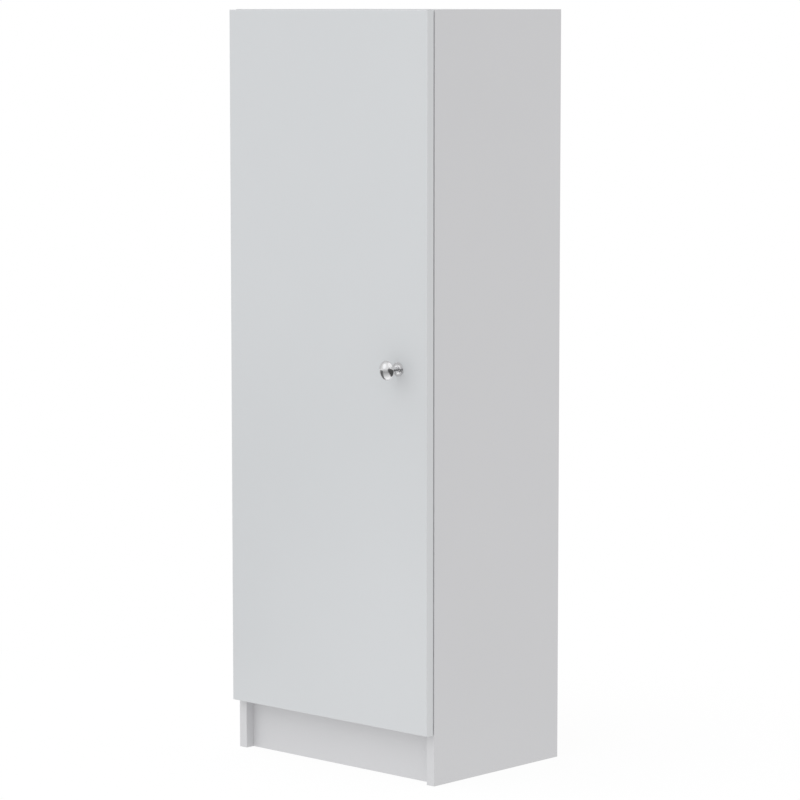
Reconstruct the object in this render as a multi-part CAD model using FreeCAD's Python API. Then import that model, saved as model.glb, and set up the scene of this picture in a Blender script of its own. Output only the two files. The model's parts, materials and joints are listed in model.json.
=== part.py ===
import FreeCAD, Part
import math
import os
from FreeCAD import Vector

# Tall broom cupboard of white boards with one full-overlay door.
# X runs to the right seen from the front, Y to the back, Z up, in millimetres.
# The origin is on the floor, midway between the sides and midway between
# the front of the knob and the rear edges.

# Carcass
width = 600.0
height = 1670.0
depth = 410.0              # side panels, front edge to rear edge
side_thickness = 22.0
top_thickness = 22.0
bottom_thickness = 22.0
plinth_height = 112.0      # floor to the underside of the bottom panel
kick_thickness = 18.0
kick_recess = 22.0
edge_band = 1.0            # plastic strip on the front edges of the carcass
band_rounding = 0.6
back_thickness = 4.0
back_inset = 12.0          # rear edges to the rear face of the back panel
groove_depth = 9.0
groove_clearance = 0.2

# Shelf
shelf_thickness = 22.0
shelf_height = 1340.0      # floor to the underside of the shelf
shelf_setback = 30.0       # front edges of the carcass to the shelf's front
shelf_side_gap = 1.0
shelf_back_gap = 1.0
pin_hole_diameter = 5.0
pin_hole_depth = 10.0
pin_shaft_length = 8.0
pin_hole_pitch = 32.0
pin_holes_per_row = 5
pin_row_front = 67.0       # front edge of a side to the front row of holes
pin_row_back = 60.0        # back panel to the rear row of holes
pin_collar_diameter = 9.0
pin_collar_thickness = 1.2
pin_tongue_length = 9.0
pin_tongue_width = 8.0
pin_tongue_thickness = 3.0

# Board joints: cam locks, their bolts and wooden dowels
cam_diameter = 15.0
cam_depth = 13.0
cam_setback = 34.0         # end of a board to the cam's centre
cam_sides = 12             # flats round a cam and its hole
cam_slot_length = 9.6
cam_slot_width = 2.5
cam_slot_depth = 3.0
cam_jaw = 5.2              # slot in the cam's side that grips the bolt
cam_play = 0.5             # air before and behind the bolt's head
bolt_shank_diameter = 5.0
bolt_head_diameter = 7.0
bolt_head_length = 3.0
bolt_thread_diameter = 6.0
bolt_thread_length = 11.0
bolt_bore_diameter = 8.0
dowel_diameter = 8.0
dowel_length = 30.0
dowel_depth_in_side = 12.0
joint_front = 60.0         # front edge to the front cam
joint_back = 70.0          # rear edge to the rear cam
dowel_spacing = 32.0       # cam to the dowel beside it
kick_dowel_inset = 28.0    # lower or upper edge of the kickboard to a dowel

# Door
door_thickness = 20.0
door_gap = 2.2             # air between the door and the carcass
door_reveal = 1.0          # door's edge inside the carcass outline
door_band = 2.0
door_rounding = 1.5

# Hinges: single-pivot concealed hinges with a drilled-in cup
hinge_count = 3
hinge_end_distance = 120.0  # end of the door to the first hinge
cup_diameter = 35.0
cup_depth = 13.5
cup_wall = 1.0
cup_sides = 24             # flats round the cup
cup_floor = 0.8
cup_edge_distance = 3.0    # door's edge to the rim of the cup bore
cup_bore_clearance = 0.1
flange_thickness = 0.8
flange_rim = 0.6
flange_length = 62.0
flange_width = 13.0
flange_offset = 5.5        # cup's centre to the line of the flange screws
flange_screw_spacing = 48.0
pivot_inset = 7.3          # door's edge to the pivot
pivot_depth = 10.0         # door's inner face to the pivot
pivot_diameter = 3.0
pivot_clearance = 0.05
knuckle_diameter = 4.8
knuckle_sides = 12         # flats round the knuckle, or round a whole pair of half-round ends
lug_thickness = 2.6
lug_diameter = 6.0
lug_side_clearance = 0.3
neck_width = 7.0
neck_thickness = 2.2
neck_dip = 0.6             # the neck runs this much deeper than the pivot
neck_reach = 12.5          # pivot to the bend in the bottom of the cup
neck_rise_start = 9.0      # carcass front edge back to the straight arm
neck_bend_radius = 4.0
arm_length = 60.0
arm_width = 12.4
arm_web = 1.6
arm_flange = 5.0
arm_wall = 1.4
arm_corner = 3.7           # corners of the arm's web
arm_flange_corner = 3.0
arm_slot_length = 9.0
arm_slot_width = 4.4
plate_screw_setback = 37.0  # carcass front edge to the plate's screws
plate_screw_spacing = 32.0
plate_base = 2.0
plate_width = 17.0
plate_ridge_height = 6.5
plate_ridge_width = 9.4
plate_ridge_length = 44.0
plate_ridge_lead = 17.0    # plate's screws forward to the front of the ridge
plate_ridge_rounding = 2.0
arm_screw_offset = 14.0    # plate screws back to the arm's fixing screw

# Small fasteners
peg_sides = 8              # flats round a shank or its hole
screw_head_diameter = 7.0
screw_head_height = 1.8
screw_shank_diameter = 3.5
screw_length = 11.0

# Knob
knob_projection = 42.0
knob_edge_distance = 85.0  # door's free edge to the knob's centre
knob_height = 903.0
knob_head_diameter = 43.0
knob_rim_projection = 35.5
knob_flat_share = 0.12     # flat middle of the dome, as a share of the head
knob_flare_power = 3.0     # how late the neck widens into the head
knob_rise_power = 0.8      # how the rings of the neck spread along it
knob_bands = 5             # in the neck, and again in the dome
knob_sides = 32            # flats round the knob
knob_neck_diameter = 11.0
knob_base_diameter = 30.0
knob_base_thickness = 5.5  # door to the foot of the neck
knob_dome_diameter = 23.0  # dome on the base, inside its flat border
knob_border_thickness = 1.8
knob_border_rounding = 0.8
knob_dome_bands = 3
knob_screw_diameter = 4.0
knob_screw_bite = 12.0     # depth of the hole in the knob
knob_screw_gap = 1.2       # screw's tip to the end of that hole
knob_screw_clearance = 0.5

# Magnetic catch, its strike and the rubber stops
catch_height = 40.0        # along Z
catch_width = 14.0
catch_length = 34.0        # along Y
catch_setback = 2.0
catch_rounding = 2.0
catch_below_knob = 110.0
catch_ear_length = 62.0    # along Z, over both screw ears
catch_ear_width = 13.0
catch_ear_thickness = 2.5
keeper_thickness = 1.5
keeper_spacing = 8.0
keeper_height = 30.0
keeper_reach = 17.0        # catch's front back to the ends of the keepers
magnet_setback = 1.0       # catch's front to the magnet
strike_clearance = 0.3     # strike to the keepers with the door shut
strike_thickness = 1.5
strike_width = 16.0
strike_height = 40.0
strike_corner = 3.0
strike_screw_spacing = 24.0
stop_diameter = 10.0
stop_tip_diameter = 7.0
stop_taper = 1.1
stop_clearance = 0.3
stop_end_distance = 60.0

# Bracket that ties the cupboard to a wall
bracket_width = 40.0
bracket_leg = 32.0
bracket_thickness = 2.0
bracket_bend_radius = 2.5
bracket_hole_distance = 19.0  # corner of the bracket to the holes of both legs
bracket_screw_spacing = 20.0
wall_hole_diameter = 6.5
back_hole_diameter = 12.0

# Places that follow from the sizes
total_depth = depth + door_gap + door_thickness + knob_projection
x_left = -width / 2
x_right = width / 2
x_inner_left = x_left + side_thickness
x_inner_right = x_right - side_thickness
y_back = total_depth / 2
y_front = y_back - depth
y_board = y_front + edge_band
y_panel_back = y_back - back_inset
y_panel_front = y_panel_back - back_thickness
z_bottom = plinth_height
z_floor = plinth_height + bottom_thickness
z_ceiling = height - top_thickness
y_door_inner = y_front - door_gap
y_door_front = y_door_inner - door_thickness
x_door_left = x_left + door_reveal
x_door_right = x_right - door_reveal
z_door_bottom = z_bottom
z_door_top = height - door_reveal
x_knob = x_door_right - knob_edge_distance
x_pivot = x_door_left + pivot_inset
y_pivot = y_door_inner - pivot_depth
x_cup = x_door_left + cup_edge_distance + cup_diameter / 2
x_arm = x_inner_left + plate_base + plate_ridge_height
y_plate = y_front + plate_screw_setback
z_catch = knob_height - catch_below_knob
x_catch = x_inner_right - catch_width / 2
y_catch_front = y_front + catch_setback
y_catch = y_catch_front + catch_length / 2
hinge_step = (z_door_top - z_door_bottom - 2 * hinge_end_distance) / (hinge_count - 1)
hinge_heights = [z_door_bottom + hinge_end_distance + n * hinge_step for n in range(hinge_count)]
hinge_names = ["hinge_%d" % (n + 1) for n in range(hinge_count)]
joint_places = (y_front + joint_front, y_back - joint_back)

RIGHT = Vector(1, 0, 0)
BACK = Vector(0, 1, 0)
UP = Vector(0, 0, 1)


def block(x0, x1, y0, y1, z0, z1):
    """A box between two corners."""
    return Part.makeBox(x1 - x0, y1 - y0, z1 - z0, Vector(x0, y0, z0))


def rod(diameter, length, start, direction):
    """A cylinder from a point along a direction."""
    return Part.makeCylinder(diameter / 2, length, start, direction)


def lathe(profile, sides, start, direction):
    """A many-sided turning. profile lists (radius, distance) rings along direction, and the
    first and last rings are closed by flat ends."""
    side = UP if abs(direction.z) < 0.5 else RIGHT
    across = direction.cross(side)
    rings = []
    for radius, distance in profile:
        ring = []
        for n in range(sides):
            angle = 2 * math.pi * n / sides
            out = side * math.cos(angle) + across * math.sin(angle)
            ring.append(start + direction * distance + out * radius)
        rings.append(ring)
    faces = [Part.Face(Part.makePolygon(ring + ring[:1])) for ring in (rings[0], rings[-1])]
    for low, high in zip(rings, rings[1:]):
        for n in range(sides):
            m = (n + 1) % sides
            faces.append(Part.Face(Part.makePolygon([low[n], low[m], high[m], high[n], low[n]])))
    solid = Part.Solid(Part.Shell(faces))
    if solid.Volume < 0:
        solid.reverse()
    return solid


def peg(diameter, length, start, direction, sides=peg_sides):
    """A many-sided rod, for what repeats out of sight: holes, pegs and the shanks of fasteners."""
    return lathe([(diameter / 2, 0), (diameter / 2, length)], sides, start, direction)


def join(shapes):
    """The union of touching shapes, without seams on flat faces."""
    return shapes[0].multiFuse(shapes[1:]).removeSplitter()


def edges_along(shape, direction, place=None):
    """The straight edges that run along a direction, and that place() accepts."""
    found = []
    for edge in shape.Edges:
        if edge.Curve.TypeId != "Part::GeomLine":
            continue
        run = edge.Vertexes[-1].Point - edge.Vertexes[0].Point
        along = abs(run.dot(direction)) > 0.999 * run.Length
        if along and (place is None or place(edge.CenterOfMass)):
            found.append(edge)
    return found


def rounded_path(points, radius):
    """A wire through points with an arc of the given radius at each inner point."""
    edges = []
    here = points[0]
    for before, corner, after in zip(points, points[1:], points[2:]):
        arriving = (corner - before).normalize()
        leaving = (after - corner).normalize()
        turn = arriving.getAngle(leaving)
        cut = radius * math.tan(turn / 2)
        bisector = (leaving - arriving).normalize()
        middle = corner + bisector * (radius / math.cos(turn / 2) - radius)
        start = corner - arriving * cut
        end = corner + leaving * cut
        edges.append(Part.LineSegment(here, start).toShape())
        edges.append(Part.Arc(start, middle, end).toShape())
        here = end
    edges.append(Part.LineSegment(here, points[-1]).toShape())
    return Part.Wire(edges)


def strip(points, radius, thickness, across):
    """Sheet metal bent along the middle of its section. across is its width, square to the path."""
    edge = rounded_path(points, radius).makeOffset2D(-thickness / 2, openResult=True)
    return edge.makeOffset2D(thickness, fill=True, openResult=True).extrude(across)


def round_ended(length, width, thickness, start, along, direction):
    """A flat bar with half-round ends, from the middle of its first face. along is its length and
    direction its thickness."""
    end = along * ((length - width) / 2)
    side = along.cross(direction) * (width / 2)
    corners = [start + end + side, start - end + side, start - end - side, start + end - side]
    bar = Part.Face(Part.makePolygon(corners + corners[:1])).extrude(direction * thickness)
    tips = [peg(width, thickness, start + tip, direction, knuckle_sides) for tip in (end, end * -1)]
    return join([bar] + tips)


def screw(seat, direction, length=screw_length, shank=screw_shank_diameter):
    """A pan-head screw that runs along direction from the face it is seated on."""
    head = peg(screw_head_diameter, screw_head_height, seat - direction * screw_head_height, direction)
    return join([head, peg(shank, length, seat, direction)])


def drill(board, diameter, length, start, direction):
    """A board with a hole from a point along a direction."""
    return board.cut(rod(diameter, length, start, direction))


def screws_at(seats, direction):
    """A screw on each seat."""
    return Part.makeCompound([screw(seat, direction) for seat in seats])


def pilot_drill(board, seats, direction):
    """A board with the hole of each screw that is seated on a piece in front of it."""
    holes = [peg(screw_shank_diameter, screw_length, seat, direction) for seat in seats]
    return board.cut(Part.makeCompound(holes))


# Boards of the carcass

def joint_rows():
    """Each row of fasteners at a board's ends: its height and the underside its cams open to."""
    middle_of_top = z_ceiling + top_thickness / 2
    middle_of_bottom = z_bottom + bottom_thickness / 2
    return ((middle_of_top, z_ceiling), (middle_of_bottom, z_bottom))


def dowel_places():
    """Where wooden dowels cross from the boards into the sides: (y, z)."""
    places = []
    for z, _ in joint_rows():
        places += [(y + dowel_spacing, z) for y in joint_places]
    y_kick = y_front + kick_recess + kick_thickness / 2
    places += [(y_kick, z) for z in (kick_dowel_inset, plinth_height - kick_dowel_inset)]
    return places


def pin_row_places():
    """The two rows of shelf pins, front and back."""
    return (y_front + pin_row_front, y_panel_front - pin_row_back)


def pin_heights():
    """Heights of the holes in a row. The middle one carries the shelf."""
    middle = shelf_height - pin_tongue_thickness / 2
    half = (pin_holes_per_row - 1) / 2
    return [middle + (n - half) * pin_hole_pitch for n in range(pin_holes_per_row)]


def back_groove(x0, x1, z0, z1):
    """The slot that the back panel slides into."""
    slack = groove_clearance
    return block(x0, x1, y_panel_front - slack, y_panel_back + slack, z0, z1)


def side_panel(x_outer, inward):
    """A side board. inward is the direction from its outer to its inner face."""
    x_inner = x_outer + inward.x * side_thickness
    low, high = sorted((x_outer, x_inner))
    board = block(low, high, y_board, y_back, 0, height)
    groove_low, groove_high = sorted((x_inner, x_inner - inward.x * groove_depth))
    board = board.cut(back_groove(groove_low, groove_high, 0, height))
    outward = inward * -1
    holes = []
    for y in pin_row_places():
        for z in pin_heights():
            holes.append(peg(pin_hole_diameter, pin_hole_depth, Vector(x_inner, y, z), outward))
    for z, _ in joint_rows():
        for y in joint_places:
            holes.append(peg(bolt_thread_diameter, bolt_thread_length, Vector(x_inner, y, z), outward))
    for y, z in dowel_places():
        holes.append(peg(dowel_diameter, dowel_depth_in_side, Vector(x_inner, y, z), outward))
    seats = plate_screw_seats() if outward.x < 0 else catch_screw_seats()
    return pilot_drill(board.cut(Part.makeCompound(holes)), seats, outward)


def cam_centres(z_open):
    """Centres of the four cams of a board, on the face they are drilled from."""
    places = []
    for x in (x_inner_left + cam_setback, x_inner_right - cam_setback):
        places += [Vector(x, y, z_open) for y in joint_places]
    return places


def lying_board(z0, thickness, z_open):
    """Top or bottom board between the sides, drilled for its cams, bolts and dowels."""
    board = block(x_inner_left, x_inner_right, y_board, y_back, z0, z0 + thickness)
    middle = z0 + thickness / 2
    holes = [peg(cam_diameter, cam_depth, centre, UP, cam_sides) for centre in cam_centres(z_open)]
    in_board = dowel_length - dowel_depth_in_side
    for x, inward in ((x_inner_left, RIGHT), (x_inner_right, RIGHT * -1)):
        for y in joint_places:
            holes.append(peg(bolt_bore_diameter, cam_setback, Vector(x, y, middle), inward))
            start = Vector(x, y + dowel_spacing, middle)
            holes.append(peg(dowel_diameter, in_board, start, inward))
    return board.cut(Part.makeCompound(holes))


def top_panel():
    board = lying_board(z_ceiling, top_thickness, z_ceiling)
    board = board.cut(back_groove(x_inner_left, x_inner_right, z_ceiling, z_ceiling + groove_depth))
    return pilot_drill(board, bracket_screw_seats(), UP)


def bottom_panel():
    board = lying_board(z_bottom, bottom_thickness, z_bottom)
    return board.cut(back_groove(x_inner_left, x_inner_right, z_floor - groove_depth, z_floor))


def kickboard():
    """The board that closes the plinth, set back under the door."""
    y0 = y_front + kick_recess
    board = block(x_inner_left, x_inner_right, y0, y0 + kick_thickness, 0, plinth_height)
    in_board = dowel_length - dowel_depth_in_side
    holes = []
    for y, z in dowel_places()[-2:]:
        for x, inward in ((x_inner_left, RIGHT), (x_inner_right, RIGHT * -1)):
            holes.append(peg(dowel_diameter, in_board, Vector(x, y, z), inward))
    return board.cut(Part.makeCompound(holes))


def back_panel():
    """Thin sheet held in the grooves of the sides, top and bottom."""
    hold = groove_depth - groove_clearance
    sheet = block(
        x_inner_left - hold, x_inner_right + hold,
        y_panel_front, y_panel_back,
        z_floor - hold, z_ceiling + hold,
    )
    return drill(sheet, back_hole_diameter, back_thickness, wall_hole_centre(y_panel_front), BACK)


def front_band(x0, x1, z0, z1, y0):
    """Edge strip with its front corners rounded along its length."""
    band = block(x0, x1, y0, y0 + edge_band, z0, z1)
    direction = UP if z1 - z0 > x1 - x0 else RIGHT
    edges = edges_along(band, direction, lambda middle: middle.y < y0 + edge_band / 2)
    return band.makeFillet(band_rounding, edges)


def shelf():
    """Loose shelf on four pins."""
    y0 = y_front + shelf_setback + edge_band
    x0 = x_inner_left + shelf_side_gap
    x1 = x_inner_right - shelf_side_gap
    return block(x0, x1, y0, y_panel_front - shelf_back_gap, shelf_height, shelf_height + shelf_thickness)


def shelf_band():
    x0 = x_inner_left + shelf_side_gap
    x1 = x_inner_right - shelf_side_gap
    return front_band(x0, x1, shelf_height, shelf_height + shelf_thickness, y_front + shelf_setback)


def shelf_pins():
    """Four steel pins, each with a collar and a flat tongue under the shelf."""
    pins = []
    for x, inward in ((x_inner_left, RIGHT), (x_inner_right, RIGHT * -1)):
        for y in pin_row_places():
            centre = Vector(x, y, shelf_height - pin_tongue_thickness / 2)
            shaft = peg(pin_hole_diameter, pin_shaft_length, centre, inward * -1)
            collar = peg(pin_collar_diameter, pin_collar_thickness, centre, inward)
            end = x + inward.x * pin_tongue_length
            low, high = sorted((x, end))
            tongue = block(
                low, high,
                y - pin_tongue_width / 2, y + pin_tongue_width / 2,
                shelf_height - pin_tongue_thickness, shelf_height,
            )
            above = block(low, high, y - pin_collar_diameter, y + pin_collar_diameter,
                          shelf_height, shelf_height + pin_collar_diameter)
            pins.append(join([shaft, collar.cut(above), tongue]))
    return Part.makeCompound(pins)


def channel(start, length, size):
    """A square bar of the given size, centred on a line along X from start."""
    low, high = sorted((start.x, start.x + length))
    half = size / 2
    return block(low, high, start.y - half, start.y + half, start.z - half, start.z + half)


def cam_locks():
    """Round cams with a cross recess, and a jaw on the side that faces the bolt."""
    cams = []
    for z_middle, z_open in joint_rows():
        for centre in cam_centres(z_open):
            cam = peg(cam_diameter, cam_depth, centre, UP, cam_sides)
            towards = -1 if centre.x < 0 else 1
            for turn in (0, 90):
                slot = block(-cam_slot_length / 2, cam_slot_length / 2,
                             -cam_slot_width / 2, cam_slot_width / 2, 0, cam_slot_depth)
                slot.rotate(Vector(0, 0, 0), UP, turn)
                slot.translate(centre)
                cam = cam.cut(slot)
            reach = Vector(centre.x, centre.y, z_middle)
            mouth = channel(reach, towards * cam_diameter, cam_jaw)
            behind = reach - RIGHT * (towards * cam_play)
            pocket = channel(behind, towards * (bolt_head_length + 2 * cam_play), bolt_bore_diameter)
            cams.append(cam.cut(mouth).cut(pocket))
    return Part.makeCompound(cams)


def cam_bolts():
    """Steel bolts screwed into the sides, with a head that the cam pulls on."""
    bolts = []
    for z, _ in joint_rows():
        for y in joint_places:
            for x, inward in ((x_inner_left, RIGHT), (x_inner_right, RIGHT * -1)):
                start = Vector(x, y, z)
                end = start + inward * (cam_setback - bolt_head_length)
                bolts.append(join([
                    peg(bolt_thread_diameter, bolt_thread_length, start, inward * -1),
                    peg(bolt_shank_diameter, cam_setback - bolt_head_length, start, inward),
                    peg(bolt_head_diameter, bolt_head_length, end, inward),
                ]))
    return Part.makeCompound(bolts)


def dowels():
    """Wooden dowels, glued into the sides and the boards between them."""
    pegs = []
    for y, z in dowel_places():
        for x, inward in ((x_inner_left, RIGHT), (x_inner_right, RIGHT * -1)):
            start = Vector(x, y, z) - inward * dowel_depth_in_side
            pegs.append(peg(dowel_diameter, dowel_length, start, inward))
    return Part.makeCompound(pegs)


# Door

def door_panel():
    """The door board inside its edge band, bored for the cups and the knob's screw."""
    board = block(
        x_door_left + door_band, x_door_right - door_band,
        y_door_front, y_door_inner,
        z_door_bottom + door_band, z_door_top - door_band,
    )
    bore = cup_diameter + 2 * cup_bore_clearance
    for z in hinge_heights:
        board = board.cut(peg(bore, cup_depth, Vector(x_cup, y_door_inner, z), BACK * -1, cup_sides))
    board = pilot_drill(board, cup_screw_seats() + strike_screw_seats(), BACK * -1)
    hole = knob_screw_diameter + 2 * knob_screw_clearance
    return board.cut(peg(hole, door_thickness, Vector(x_knob, y_door_front, knob_height), BACK, cam_sides))


def door_edge_band():
    """Plastic edging round all four edges, with rounded outer corners."""
    outer = block(x_door_left, x_door_right, y_door_front, y_door_inner, z_door_bottom, z_door_top)
    edges = edges_along(outer, UP) + edges_along(outer, RIGHT)
    outer = outer.makeFillet(door_rounding, edges)
    inner = block(
        x_door_left + door_band, x_door_right - door_band,
        y_door_front, y_door_inner,
        z_door_bottom + door_band, z_door_top - door_band,
    )
    return outer.cut(inner)


# Hinges

def hinge_cup(z):
    """Cup with a screw flange, and two lugs near its rim that hold the pivot."""
    outer = cup_diameter / 2
    inner = outer - cup_wall
    centre = Vector(x_cup, y_door_inner, z)
    rim = outer + flange_rim
    profile = [(outer, -cup_depth), (outer, 0), (rim, 0), (rim, flange_thickness)]
    shell = lathe(profile, cup_sides, centre, BACK)
    middle = centre + RIGHT * flange_offset
    shell = join([shell, round_ended(flange_length, flange_width, flange_thickness, middle, UP, BACK)])
    floor = centre - BACK * (cup_depth - cup_floor)
    shell = shell.cut(peg(2 * inner, cup_depth + flange_thickness, floor, BACK, cup_sides))
    lug_start = neck_width / 2 + lug_side_clearance
    core = peg(2 * inner + cup_wall, cup_depth - cup_floor, floor, BACK, cup_sides)
    for z_low in (z + lug_start, z - lug_start - lug_thickness):
        eye = peg(lug_diameter, lug_thickness, Vector(x_pivot, y_pivot, z_low), UP, cam_sides)
        to_wall = block(x_cup - outer, x_pivot, y_pivot - lug_diameter / 2, y_pivot + lug_diameter / 2,
                        z_low, z_low + lug_thickness)
        to_floor = block(x_cup - outer, x_pivot + lug_diameter / 2,
                         y_door_inner - cup_depth, y_pivot, z_low, z_low + lug_thickness)
        shell = shell.fuse(join([eye, to_wall, to_floor]).common(core))
    pivot_half = lug_start + lug_thickness
    shell = drill(shell, pivot_diameter, 2 * pivot_half, Vector(x_pivot, y_pivot, z - pivot_half), UP)
    return pilot_drill(shell, cup_screw_seats(), BACK * -1).removeSplitter()


def hinge_pivot(z):
    """Steel pin through the lugs and the knuckle."""
    half = neck_width / 2 + lug_side_clearance + lug_thickness
    return rod(pivot_diameter, 2 * half, Vector(x_pivot, y_pivot, z - half), UP)


def hinge_arm(z):
    """Gooseneck arm: a knuckle round the pivot, a neck that dips along the bottom of the cup
    and rises past the side's front edge, and a channel that straddles the mounting plate."""
    low = z - neck_width / 2
    x_web = x_arm + arm_web / 2
    y_bend = y_pivot - neck_dip
    y_straight = y_front + neck_rise_start
    path = [
        Vector(x_pivot, y_pivot, low),
        Vector(x_pivot + neck_reach, y_bend, low),
        Vector(x_web, y_front, low),
        Vector(x_web, y_straight + neck_bend_radius, low),
    ]
    neck = strip(path, neck_bend_radius, neck_thickness, UP * neck_width)
    knuckle = peg(knuckle_diameter, neck_width, Vector(x_pivot, y_pivot, low), UP, knuckle_sides)
    y_end = y_straight + arm_length
    web = block(x_arm, x_arm + arm_web, y_straight, y_end, z - arm_width / 2, z + arm_width / 2)
    web = web.makeFillet(arm_corner, edges_along(web, RIGHT))
    walls = []
    for z_low in (z - arm_width / 2, z + arm_width / 2 - arm_wall):
        wall = block(x_arm - arm_flange, x_arm + arm_web, y_straight, y_end, z_low, z_low + arm_wall)
        front = edges_along(wall, UP, lambda middle: middle.x < x_arm)
        walls.append(wall.makeFillet(arm_flange_corner, front))
    arm = join([neck, knuckle, web] + walls)
    bore = pivot_diameter + 2 * pivot_clearance
    arm = drill(arm, bore, neck_width, Vector(x_pivot, y_pivot, low), UP)
    slot_middle = Vector(x_arm, y_plate + arm_screw_offset, z)
    return arm.cut(round_ended(arm_slot_length, arm_slot_width, arm_web, slot_middle, BACK, RIGHT))


def hinge_plate(z):
    """Mounting plate: screw wings on the side panel and a ridge that carries the arm."""
    base_top = x_inner_left + plate_base
    middle = Vector(x_inner_left, y_plate, z)
    wings = round_ended(plate_screw_spacing + plate_width, plate_width, plate_base, middle, UP, RIGHT)
    y0 = y_plate - plate_ridge_lead
    ridge = block(x_inner_left, x_arm, y0, y0 + plate_ridge_length,
                  z - plate_ridge_width / 2, z + plate_ridge_width / 2)
    corners = edges_along(ridge, UP, lambda middle: middle.x > base_top)
    ridge = ridge.makeFillet(plate_ridge_rounding, corners)
    plate = pilot_drill(join([wings, ridge]), plate_screw_seats(), RIGHT * -1)
    start = middle + BACK * arm_screw_offset
    return plate.cut(peg(screw_shank_diameter, x_arm - x_inner_left, start, RIGHT))


def cup_screw_seats():
    """Tops of the cup flanges where their screws go into the door."""
    y = y_door_inner + flange_thickness
    half = flange_screw_spacing / 2
    return [Vector(x_cup + flange_offset, y, z + side * half) for z in hinge_heights for side in (-1, 1)]


def plate_screw_seats():
    """Faces of the mounting plates where their screws go into the left side panel."""
    x = x_inner_left + plate_base
    half = plate_screw_spacing / 2
    return [Vector(x, y_plate, z + side * half) for z in hinge_heights for side in (-1, 1)]


def arm_screws():
    screws = []
    for z in hinge_heights:
        seat = Vector(x_arm + arm_web, y_plate + arm_screw_offset, z)
        screws.append(screw(seat, RIGHT * -1, length=plate_ridge_height))
    return Part.makeCompound(screws)


# Knob

def knob_base():
    """Round rose on the door: a flat border round a shallow dome that carries the neck. The dome
    is a quarter of an ellipse from the border to the foot of the neck."""
    border = knob_base_diameter / 2
    neck = knob_neck_diameter / 2
    dome = knob_dome_diameter / 2
    rise = knob_base_thickness - knob_border_thickness
    profile = [
        (border, 0),
        (border, knob_border_thickness - knob_border_rounding),
        (border - knob_border_rounding, knob_border_thickness),
    ]
    for n in range(knob_dome_bands + 1):
        angle = n / knob_dome_bands * math.pi / 2
        radius = neck + (dome - neck) * math.cos(angle)
        profile.append((radius, knob_border_thickness + rise * math.sin(angle)))
    centre = Vector(x_knob, y_door_front, knob_height)
    rose = lathe(profile, knob_sides, centre, BACK * -1)
    return rose.cut(peg(knob_screw_diameter, knob_base_thickness, centre, BACK * -1))


def knob():
    """Mushroom knob: a waisted neck that flares into a shallow domed head. The neck widens with
    a power of the way to the rim, and the head closes on a flattened circle."""
    neck = knob_neck_diameter / 2
    head = knob_head_diameter / 2
    back = knob_rim_projection - knob_base_thickness
    dome = knob_projection - knob_rim_projection
    profile = []
    for n in range(knob_bands + 1):
        way = n / knob_bands
        radius = neck + (head - neck) * way ** knob_flare_power
        profile.append((radius, knob_base_thickness + back * way ** knob_rise_power))
    for n in range(1, knob_bands):
        angle = n / knob_bands * math.pi / 2
        profile.append((head * math.cos(angle), knob_rim_projection + dome * math.sin(angle)))
    profile.append((head * knob_flat_share, knob_projection))
    centre = Vector(x_knob, y_door_front, knob_height)
    body = lathe(profile, knob_sides, centre, BACK * -1)
    bite = Vector(x_knob, y_door_front - knob_base_thickness, knob_height)
    return body.cut(peg(knob_screw_diameter, knob_screw_bite, bite, BACK * -1))


def knob_screw():
    """Screw from inside the door into the knob's neck."""
    length = door_thickness + knob_base_thickness + knob_screw_bite - knob_screw_gap
    seat = Vector(x_knob, y_door_inner, knob_height)
    return screw(seat, BACK * -1, length=length, shank=knob_screw_diameter)


# Catch, strike and stops

def catch_body():
    """Plastic housing on the right side panel, with a pocket for the magnet's keepers."""
    body = block(x_inner_right - catch_width, x_inner_right, y_catch_front, y_catch_front + catch_length,
                 z_catch - catch_height / 2, z_catch + catch_height / 2)
    x_ear = x_inner_right - catch_ear_thickness
    free_edges = edges_along(body, BACK, lambda middle: middle.x < x_ear)
    body = body.makeFillet(catch_rounding, free_edges)
    middle = Vector(x_ear, y_catch, z_catch)
    ears = round_ended(catch_ear_length, catch_ear_width, catch_ear_thickness, middle, UP, RIGHT)
    body = pilot_drill(join([body, ears]), catch_screw_seats(), RIGHT)
    half = keeper_spacing / 2 + keeper_thickness
    return body.cut(keeper_block(x_catch - half, x_catch + half, y_catch_front))


def keeper_block(x0, x1, y0):
    """A block as high as the keepers, from y0 back to their ends."""
    half = keeper_height / 2
    return block(x0, x1, y0, y_catch_front + keeper_reach, z_catch - half, z_catch + half)


def catch_magnet():
    """Magnet between two steel keepers that stand out to meet the strike."""
    x0 = x_catch - keeper_spacing / 2
    x1 = x_catch + keeper_spacing / 2
    y_tip = y_door_inner + strike_thickness + strike_clearance
    return join([
        keeper_block(x0, x1, y_catch_front + magnet_setback),
        keeper_block(x0 - keeper_thickness, x0, y_tip),
        keeper_block(x1, x1 + keeper_thickness, y_tip),
    ])


def catch_strike():
    """Steel plate on the door, opposite the magnet."""
    plate = block(x_catch - strike_width / 2, x_catch + strike_width / 2,
                  y_door_inner, y_door_inner + strike_thickness,
                  z_catch - strike_height / 2, z_catch + strike_height / 2)
    plate = plate.makeChamfer(strike_corner, edges_along(plate, BACK))
    return pilot_drill(plate, strike_screw_seats(), BACK * -1)


def catch_screw_seats():
    """Faces of the catch's ears, midway along what stands out of the housing, where its screws go
    into the right side panel."""
    reach = (catch_height / 2 + catch_ear_length / 2) / 2
    return [Vector(x_inner_right - catch_ear_thickness, y_catch, z_catch + side * reach) for side in (-1, 1)]


def strike_screw_seats():
    """Face of the strike where its screws go into the door."""
    y = y_door_inner + strike_thickness
    half = strike_screw_spacing / 2
    return [Vector(x_catch, y, z_catch + side * half) for side in (-1, 1)]


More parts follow.
